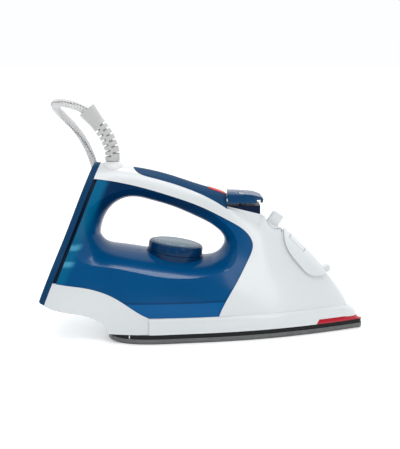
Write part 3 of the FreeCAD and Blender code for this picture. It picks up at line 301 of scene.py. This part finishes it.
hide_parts("cord_run", "cord_coil", "cord_tail")
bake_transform(lead)


# Every CAD piece is joined up and smoothed, with creases kept where its faces really turn.
CREASE = math.radians(28)
for node in nodes.values():
    joined = node.modifiers.new("joined", "WELD")
    joined.merge_threshold = 2e-6
    creased = node.modifiers.new("creased", "EDGE_SPLIT")
    creased.split_angle = CREASE
    for face in node.data.polygons:
        face.use_smooth = True


def dress(finish, *names):
    """Gives CAD pieces a finish."""
    for name in names:
        for held in nodes[name].material_slots:
            held.material = finish.material


# Water tank, a glossy tinted moulding: a cloudy blue, brighter below a dark step line near its floor,
# with painted light on it: a pale painted reflection over the rear column with two painted highlight
# bands across it, and painted shade, navy, under the grip.
tank = Finish("tank_blue", (0.0, 0.08, 0.22), Roughness=0.16, Specular_IOR_Level=0.17, IOR=1.45)
along, up = tank.place("X"), tank.place("Z")
# Mask of the rear column, where a pale painted reflection is laid into the colour.
pale_reflection_column = 1 - (along - up * 0.42).fade(-0.141, -0.134)
# Painted shade: navy under the grip, fading out toward the front and kept off the rear column.
under_grip_shade = up.fade(0.088, 0.112) * (1 - along.fade(0.0, 0.035) * 0.7) * (1 - pale_reflection_column)
# Two painted highlight bands across the rear column, at two heights.
upper_highlight_band = up.fade(0.0745, 0.0770) * (1 - up.fade(0.0780, 0.0815))
lower_highlight_band = up.fade(0.0610, 0.0645) * (1 - up.fade(0.0655, 0.0680))
below_step = 1 - up.fade(0.0325, 0.0335)
step_line = up.fade(0.0322, 0.0330) * (1 - up.fade(0.0336, 0.0350))
cloud = tank.noise(0.06, 1.0)
tank_color = tank.blend(cloud, (0.0, 0.052, 0.165), (0.0, 0.080, 0.225))
tank_color = tank.blend(below_step * 0.6, tank_color, (0.0, 0.105, 0.31))
tank_color = tank.blend(step_line * 0.55, tank_color, (0.0, 0.025, 0.09))
# Painted shade under the grip.
tank_color = tank.blend(under_grip_shade, tank_color, (0.0, 0.022, 0.075))
# Painted reflection: the rear column is painted paler.
tank_color = tank.blend(pale_reflection_column * 0.85, tank_color, (0.0, 0.115, 0.235))
# Painted highlights: pale cyan bands on the rear column.
painted_highlight_bands = pale_reflection_column * (upper_highlight_band + lower_highlight_band)
tank.set(Base_Color=tank.blend(painted_highlight_bands * 0.6, tank_color, (0.10, 0.42, 0.62)))
dress(tank, "water_tank")

# White mouldings: the skirt and heel, the handle's shell, the nose and its filler lid, the
# selector knob and the nozzle. Satin gloss, with the faint unevenness of moulded plastic.
white = Finish("moulded_white", (0.66, 0.69, 0.70), Roughness=0.28, Coat_Weight=0.25,
               Coat_Roughness=0.12)
white.set(Base_Color=white.blend(white.noise(0.04), (0.635, 0.670, 0.685), (0.680, 0.705, 0.715)),
          Roughness=white.noise(0.0012) * 0.10 + 0.24)
white.bump(white.noise(0.0006), 0.00002, 0.5)
dress(white, "lower_housing", "body_shell", "nose_cover", "filler_door", "selector_knob",
      "spray_nozzle")

# Clear inner mouldings of the tank, seen only when it is taken apart.
inner = Finish("inner_clear", (0.35, 0.60, 0.74), Roughness=0.15)
inner.set(Base_Color=inner.blend(inner.noise(0.02), (0.32, 0.56, 0.70), (0.40, 0.65, 0.78)))
dress(inner, "tank_base", "tank_front", "filler_duct")

# Soft-touch blue of the grip pad, and the same blue on the heel plate, with a fine grain.
satin = Finish("satin_blue", (0.005, 0.050, 0.13), Roughness=0.42, Specular_IOR_Level=0.08)
satin.set(Base_Color=satin.blend(satin.noise(0.03), (0.003, 0.038, 0.102), (0.005, 0.050, 0.130)),
          Roughness=satin.noise(0.0008) * 0.15 + 0.34)
satin.bump(satin.noise(0.0005, 3.0), 0.00003, 0.6)
dress(satin, "grip_pad", "rear_cover")

# Dark inner mouldings, the floor of the groove behind the tank among them.
dark = Finish("inner_dark", (0.004, 0.014, 0.04), Roughness=0.5, Specular_IOR_Level=0.2)
dark.bump(dark.noise(0.0008), 0.00004)
dress(dark, "rear_bulkhead", "terminal_block", "cord_clamp", "cord_socket")

# Black heat-proof band between the sole and the white skirt.
band = Finish("band_black", (0.008, 0.009, 0.009), Roughness=0.12, Specular_IOR_Level=0.15)
band.set(Roughness=band.noise(0.002) * 0.12 + 0.08)
dress(band, "heat_shield")

# Soleplate, a gunmetal-coated aluminium casting, ground in long strokes along the iron.
sole = Finish("sole_gunmetal", (0.12, 0.125, 0.125), Metallic=1.0, Roughness=0.3)
strokes = sole.noise(0.002, 3.0, (0.04, 1, 1))
sole.set(Base_Color=sole.blend(strokes, (0.08, 0.084, 0.084), (0.17, 0.175, 0.175)),
         Roughness=strokes * 0.2 + 0.22)
sole.bump(strokes, 0.00003, 0.5)
dress(sole, "soleplate")

# Red strip let into the skirt at the tip.
red = Finish("accent_red", (0.42, 0.010, 0.025), Roughness=0.2, Specular_IOR_Level=0.3)
red.set(Base_Color=red.blend(red.noise(0.01), (0.38, 0.008, 0.022), (0.46, 0.012, 0.028)))
dress(red, "tip_accent")

# Pilot lens, tinted red, with a painted glow of the lamp under its middle.
lens = Finish("pilot_red", (0.42, 0.01, 0.012), Roughness=0.1, Specular_IOR_Level=0.25)
low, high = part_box("pilot_lens")
middle = (low + high) / 2
off = lens.place("X") - middle.x
# Painted glow: bright red in the middle, fading to a darker rim.
painted_glow_fade = (off * off).fade(0.0, 0.00004)
lens.set(Base_Color=lens.blend(painted_glow_fade, (0.62, 0.03, 0.02), (0.34, 0.008, 0.006)))
dress(lens, "pilot_lens", "pilot_lamp")

# Guard and swivel ball, light grey: the guard is a soft slotted sleeve, the ball harder.
grey = Finish("guard_grey", (0.48, 0.485, 0.48), Roughness=0.5)
grey.set(Base_Color=grey.blend(grey.noise(0.01), (0.44, 0.445, 0.44), (0.52, 0.525, 0.52)))
grey.bump(grey.noise(0.0005), 0.00003, 0.6)
dress(grey, "cord_guard")
pale = Finish("ball_grey", (0.70, 0.71, 0.72), Roughness=0.3)
pale.set(Roughness=pale.noise(0.001) * 0.12 + 0.24)
dress(pale, "cord_ball")
core = Finish("core_white", (0.62, 0.62, 0.61), Roughness=0.85)
core.bump(core.noise(0.0008), 0.0002)
dress(core, "cord_core")

# Dial and its ring, in clear-gloss blue, and the pale disc let into the dial.
gloss = Finish("gloss_blue", (0.002, 0.030, 0.10), Roughness=0.14, Specular_IOR_Level=0.16)
gloss.set(Base_Color=gloss.blend(gloss.noise(0.02), (0.001, 0.028, 0.090), (0.002, 0.038, 0.120)),
          Roughness=gloss.noise(0.0015) * 0.08 + 0.10)
dress(gloss, "dial_ring", "thermostat_dial")
disc = Finish("disc_grey", (0.12, 0.21, 0.28), Roughness=0.22, Specular_IOR_Level=0.2)
disc.set(Base_Color=disc.blend(disc.noise(0.02), (0.10, 0.19, 0.26), (0.15, 0.24, 0.31)))
dress(disc, "dial_cap")

# Button caps, glossy blue, on a navy turret. The turret's foot is coloured as the shell is, since
# the solid reaches further down the shell than it should.
cap_blue = Finish("cap_blue", (0.003, 0.045, 0.125), Roughness=0.2, Specular_IOR_Level=0.2)
cap_blue.set(Roughness=cap_blue.noise(0.001) * 0.1 + 0.16)
dress(cap_blue, "steam_button", "spray_button")
navy = Finish("turret_navy", (0.001, 0.009, 0.034), Roughness=0.3, Specular_IOR_Level=0.1)
foot = (navy.place("Z") + navy.place("X") * 0.24) < 0.1142
navy.set(Base_Color=navy.blend(foot, (0.001, 0.009, 0.034), (0.66, 0.69, 0.70)),
         Roughness=navy.noise(0.001) * 0.12 + 0.24)
dress(navy, "turret_base")

# Works inside: pumps, pistons, springs, hoses, rods, the heater and its controls.
pump_grey = Finish("pump_grey", (0.58, 0.60, 0.62), Roughness=0.4)
pump_grey.bump(pump_grey.noise(0.001), 0.00003)
dress(pump_grey, "steam_pump", "spray_pump", "valve_seat", "steam_piston", "spray_piston", "valve_rod",
      "thermostat_shaft")
hose = Finish("hose_milky", (0.62, 0.65, 0.67), Roughness=0.35)
hose.bump(hose.noise(0.002), 0.00005)
dress(hose, "steam_pipe", "spray_hose")
steel = Finish("steel", (0.52, 0.52, 0.53), Metallic=1.0, Roughness=0.3)
steel.set(Roughness=steel.noise(0.001) * 0.25 + 0.2)
dress(steel, "steam_spring", "spray_spring", "hinge_pin", "rear_screw_left", "rear_screw_right",
      "sole_screw_front", "sole_screw_left", "sole_screw_right", "thermostat", "steam_chamber_cover")
tinted = Finish("heater_steel", (0.30, 0.27, 0.24), Metallic=1.0, Roughness=0.4)
tinted.set(Base_Color=tinted.blend(tinted.noise(0.02), (0.30, 0.27, 0.24), (0.24, 0.20, 0.26)))
dress(tinted, "heating_element")
sleeve = Finish("woven_sleeve", (0.70, 0.69, 0.64), Roughness=0.9)
sleeve.bump(sleeve.noise(0.0006), 0.0002)
dress(sleeve, "thermal_fuse", "lead_left", "lead_right")

# Plug, moulded white, with nickel pins, and the black hook tape round the coil.
plug_white = Finish("plug_white", (0.68, 0.68, 0.68), Roughness=0.4)
plug_white.bump(plug_white.noise(0.0006), 0.00004)
dress(plug_white, "plug_body")
nickel = Finish("nickel", (0.62, 0.61, 0.58), Metallic=1.0, Roughness=0.16)
nickel.set(Roughness=nickel.noise(0.002) * 0.15 + 0.1)
dress(nickel, "plug_pin_left", "plug_pin_right")
tape = Finish("hook_tape", (0.012, 0.012, 0.013), Roughness=0.95)
tape.bump(tape.noise(0.0007), 0.0004)
dress(tape, "cord_tie")

# Printed marks, a tenth of a millimetre thick: steam puffs and a fan of drops on the button
# caps, heat dots on the dial, the dial's index dash on the deck, a short scale beside the
# selector, and a tick on the black band. Places are in millimetres.
INK_T = 0.00012


def seat_of(node, start, aim):
    """Where a line from a point, in millimetres, meets a CAD piece, and the way out of it."""
    hit, place, out, _ = nodes[node].ray_cast(Vector(start) / 1000, Vector(aim))
    return place, out


def print_mark(node, start, aim, lengthways, length, width):
    """A bar with round ends laid on a CAD piece; a dot when it is as long as it is wide."""
    place, out = seat_of(node, start, aim)
    bpy.ops.object.select_all(action="DESELECT")
    bpy.ops.mesh.primitive_cylinder_add(vertices=20, radius=width / 2000, depth=INK_T)
    mark = bpy.context.object
    stretch = (length - width) / 2000
    for vertex in mark.data.vertices:
        vertex.co.x += math.copysign(stretch, vertex.co.x) if abs(vertex.co.x) > 1e-7 else 0
    across = out.cross(Vector(lengthways)).normalized()
    ahead = across.cross(out).normalized()
    turn = Matrix((ahead, across, out)).transposed().to_4x4()
    mark.data.transform(Matrix.Translation(place) @ turn)
    return mark


def print_marks(name, body, finish, marks):
    made = [print_mark(*mark) for mark in marks]
    bpy.ops.object.select_all(action="DESELECT")
    for mark in made:
        mark.select_set(True)
    bpy.context.view_layer.objects.active = made[0]
    bpy.ops.object.join()
    joined = bpy.context.object
    joined.name = joined.data.name = name
    joined.data.materials.clear()
    joined.data.materials.append(finish.material)
    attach(joined, body)


DOWN = (0, 0, -1)
AHEAD = (1, 0, 0)
ABOVE = 140
ink_white = Finish("ink_white", (0.80, 0.84, 0.86), Roughness=0.45)
ink_white.set(Roughness=ink_white.noise(0.0008) * 0.2 + 0.35)
ink_dark = Finish("ink_dark", (0.02, 0.03, 0.05), Roughness=0.5)
ink_dark.set(Roughness=ink_dark.noise(0.0008) * 0.2 + 0.4)
ink_grey = Finish("ink_grey", (0.16, 0.17, 0.18), Roughness=0.5)
ink_grey.set(Roughness=ink_grey.noise(0.0008) * 0.2 + 0.4)

puffs = [("steam_button", (31.5 + shift, y, ABOVE), DOWN, AHEAD, length, 0.9)
         for shift, y, length in ((0, -8.2, 4.2), (-0.6, -9.9, 3.2), (0.5, -11.5, 5.2))]
puffs += [("steam_button", (x, -9.9, ABOVE), DOWN, AHEAD, 1.1, 1.1) for x in (27.0, 36.2)]
print_marks("steam_marks", "steam_button", ink_white, puffs)
drops = []
for row in range(4):
    for lift in (-1, 0, 1):
        drop = (29.5 + row * 2.0, 9.8 + lift * (row + 1) * 0.9, ABOVE)
        drops.append(("spray_button", drop, DOWN, AHEAD, 0.9, 0.9))
print_marks("spray_marks", "spray_button", ink_white, drops)

dial_low, dial_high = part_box("dial_cap")
dial_middle = (dial_low + dial_high) * 500
DOTS_AT = 16
dots = []
for group in range(3):
    for dot in range(group + 1):
        angle = math.radians(205 + group * 38 + dot * 7)
        spot = (dial_middle.x + DOTS_AT * math.cos(angle), dial_middle.y + DOTS_AT * math.sin(angle),
                ABOVE)
        dots.append(("dial_cap", spot, DOWN, AHEAD, 1.1, 1.1))
print_marks("heat_dots", "dial", ink_white, dots)

print_marks("index_dash", "housing", ink_dark,
            [("water_tank", (-57, -8, 80), DOWN, (5, 2.9, 0), 5.6, 0.9)])
scale = [("body_shell", (66.6, -2.0 - step * 1.5, 120), DOWN, (1, 0, -1), 2.4 - step * 0.4, 0.6)
         for step in range(3)]
print_marks("selector_scale", "housing", ink_grey, scale)
print_marks("band_tick", "housing", ink_white,
            [("heat_shield", (-62.7, -80, 6.0), (0, 1, 0), (0, 0, 1), 2.8, 0.8)])
